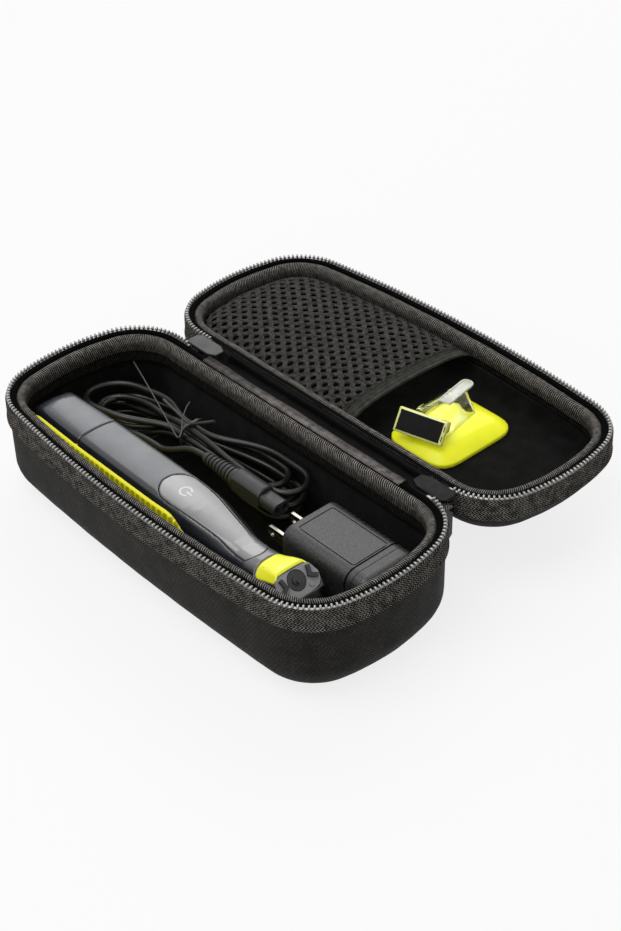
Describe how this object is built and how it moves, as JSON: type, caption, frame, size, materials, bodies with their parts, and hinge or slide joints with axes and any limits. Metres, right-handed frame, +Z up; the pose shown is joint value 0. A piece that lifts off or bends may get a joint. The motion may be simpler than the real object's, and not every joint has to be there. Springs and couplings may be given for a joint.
{
  "type": "electric shaver hard case",
  "caption": "Zipped hard case that opens flat on a fabric hinge, with a cordless shaver, its corded plug-in charger, a tied cable and a spare blade under a mesh pocket.",
  "frame": {"origin": "on the surface the case stands on, midway along it, under the hinge line", "axes": "+X along the case, +Y from the base half to the lid half, +Z up"},
  "size_m": [0.2292, 0.2096, 0.0512],
  "materials": {
    "shell_fabric": "ribbed matt cloth over moulded foam",
    "lining_velvet": "short black pile",
    "binding_webbing": "ribbed grosgrain",
    "zip_tape": "herringbone woven tape",
    "zip_teeth": "moulded, glossy black",
    "gusset_satin": "satin ribbon",
    "slider_metal": "black enamel",
    "pocket_net": "air mesh with hexagonal holes",
    "pocket_hem": "elastic band with stitch rows",
    "lime_plastic": "moulded lime green",
    "clear_plastic": "clear moulding",
    "black_plastic": "fine texture",
    "cutter_steel": "dark steel teeth",
    "handle_navy": "dark grey with a slight sheen",
    "panel_grey": "smooth grey",
    "charger_black": "fine spark texture",
    "prong_metal": "bright nickel",
    "cord_black": "smooth cable sheath",
    "steel_can": "plain can",
    "cell_sleeve": "shrink sleeve",
    "board_green": "lacquered board"
  },
  "bodies": {
    "base": {"base_binding": "binding_webbing", "base_lining": "lining_velvet", "base_shell": "shell_fabric", "base_zip_tape": "zip_tape", "base_zip_teeth": "zip_teeth", "battery_cell": "cell_sleeve", "blade_latches": "black_plastic", "charger_case": "charger_black", "charger_end_cap": "charger_black", "charger_prongs": "prong_metal", "circuit_board": "board_green", "connector_body": "black_plastic", "connector_boot": "black_plastic", "connector_tip": "black_plastic", "cord_charger_lead": "cord_black", "cord_connector_lead": "cord_black", "cord_hank": "cord_black", "cord_relief": "black_plastic", "drive_motor": "steel_can", "head_plate": "panel_grey", "hinge_gusset": "gusset_satin", "inner_chassis": "black_plastic", "shaver_grip": "lime_plastic", "shaver_handle": "handle_navy", "shaver_tail_cap": "handle_navy", "slider_left": "slider_metal", "slider_right": "slider_metal", "twist_tie": "black_plastic"},
    "lid": {"lid_shell": "shell_fabric", "lid_lining": "lining_velvet", "lid_binding": "binding_webbing", "lid_zip_tape": "zip_tape", "lid_zip_teeth": "zip_teeth", "pocket_mesh": "pocket_net", "pocket_hem": "pocket_hem", "blade_tray": "lime_plastic", "blade_cassette": "lime_plastic", "blade_cutter": "cutter_steel", "blade_cover": "clear_plastic"},
    "pull_tab_left": {"pull_tab_left": "slider_metal"},
    "pull_tab_right": {"pull_tab_right": "slider_metal"},
    "power_button": {"power_panel": "panel_grey"},
    "release_button": {"blade_release": "lime_plastic"},
    "rotor": {"drive_rotor": "black_plastic"}
  },
  "joints": [
    {"name": "lid_hinge", "type": "hinge", "parent": "base", "child": "lid", "pos_m": [0, 0, 0.0492], "axis": [1, 0, 0], "range_deg": [0, 180], "deforming": ["hinge_gusset"]},
    {"name": "left_tab_swing", "type": "hinge", "parent": "base", "child": "pull_tab_left", "pos_m": [-0.077, 0, 0.0424], "axis": [0, 1, 0], "range_deg": [-75, 75]},
    {"name": "right_tab_swing", "type": "hinge", "parent": "base", "child": "pull_tab_right", "pos_m": [0.0885, 0, 0.0424], "axis": [0, 1, 0], "range_deg": [-75, 75]},
    {"name": "power_press", "type": "slide", "parent": "base", "child": "power_button", "axis": [0, 0, -1], "range_m": [0, 0.0005], "stiffness_N_per_m": 1500, "springref_m": -0.0005},
    {"name": "release_slide", "type": "slide", "parent": "base", "child": "release_button", "axis": [-1, 0, 0], "range_m": [0, 0.0008], "stiffness_N_per_m": 600, "springref_m": -0.0005},
    {"name": "rotor_spin", "type": "hinge", "parent": "base", "child": "rotor", "pos_m": [0.0753, -0.0725, 0.0362], "axis": [0.7071, 0, 0.7071], "continuous": true}
  ]
}
